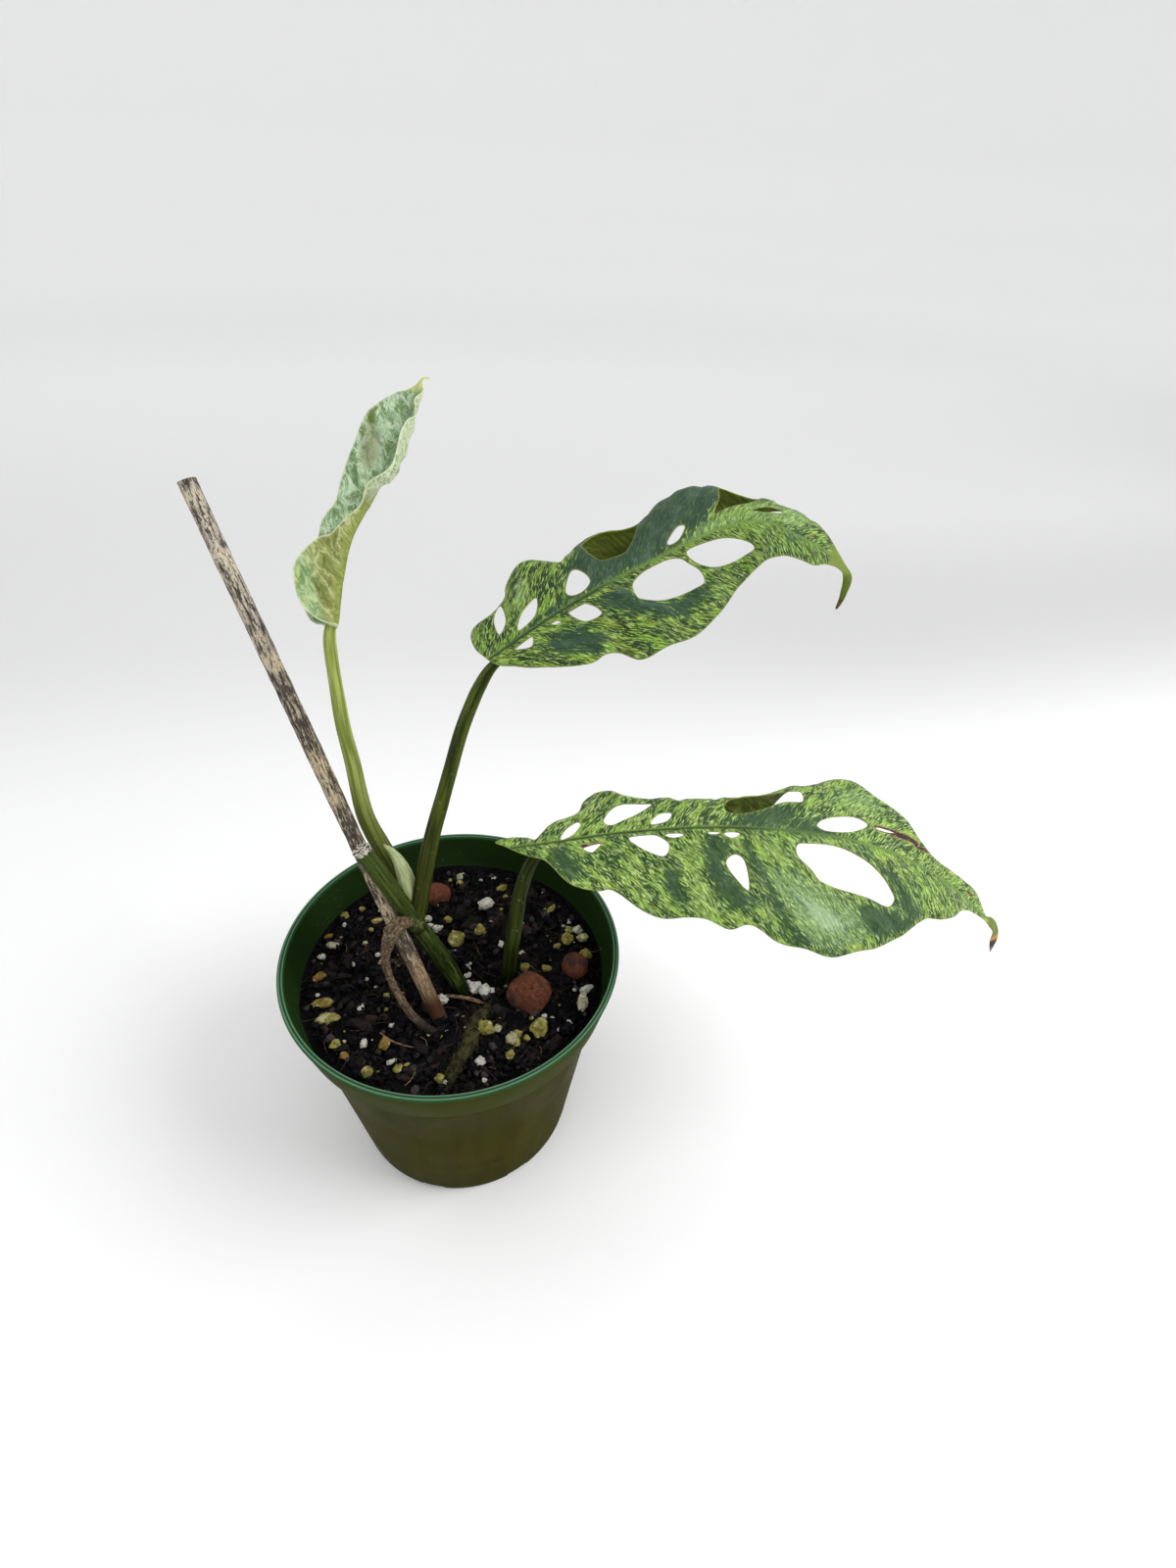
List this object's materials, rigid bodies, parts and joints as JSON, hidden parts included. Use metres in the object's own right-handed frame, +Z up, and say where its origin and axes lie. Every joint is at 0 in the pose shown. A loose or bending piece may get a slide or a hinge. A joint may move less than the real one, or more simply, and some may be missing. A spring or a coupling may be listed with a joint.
{
  "type": "potted variegated monstera adansonii",
  "caption": "Young staked aroid cutting with perforated variegated leaves, standing in a filled green nursery pot with perlite and clay pebbles on the mix.",
  "frame": {"origin": "middle of the pot's flat underside, on the surface it stands on", "axes": "+Z up the pot's axis; +X to the side that the two large leaves reach out to; -Y to the front, where the picture is taken from"},
  "size_m": [0.2262, 0.1261, 0.2369],
  "materials": {
    "pot_plastic": "thin injection-moulded olive-green plastic, satin",
    "potting_mix": "dark damp peat and bark with white and yellowish perlite",
    "stem": "dark green living stem with a pale dry callus on the cut end",
    "stake_wood": "grey-brown bark with dark flecks, dry",
    "root": "grey-brown corky root skin",
    "sheath": "pale cream-green papery scale with a brown tip",
    "petiole": "olive-green leaf stalk, lightly grooved, satin",
    "young_blade": "pale mint and cream marbled leaf, soft satin",
    "grown_blade": "green leaf marbled with lime, mint and cream along its veins, satin",
    "baked_clay": "rough matt red-brown baked clay"
  },
  "bodies": {
    "root": {"pot": "pot_plastic", "potting_mix": "potting_mix", "main_stem": "stem", "stake": "stake_wood", "aerial_root": "root", "sheath": "sheath", "petiole_1": "petiole", "petiole_2": "petiole", "petiole_3": "petiole", "blade_1": "young_blade", "blade_2": "grown_blade", "blade_3": "grown_blade", "clay_pebble_1": "baked_clay", "clay_pebble_2": "baked_clay", "clay_pebble_3": "baked_clay"}
  },
  "joints": []
}
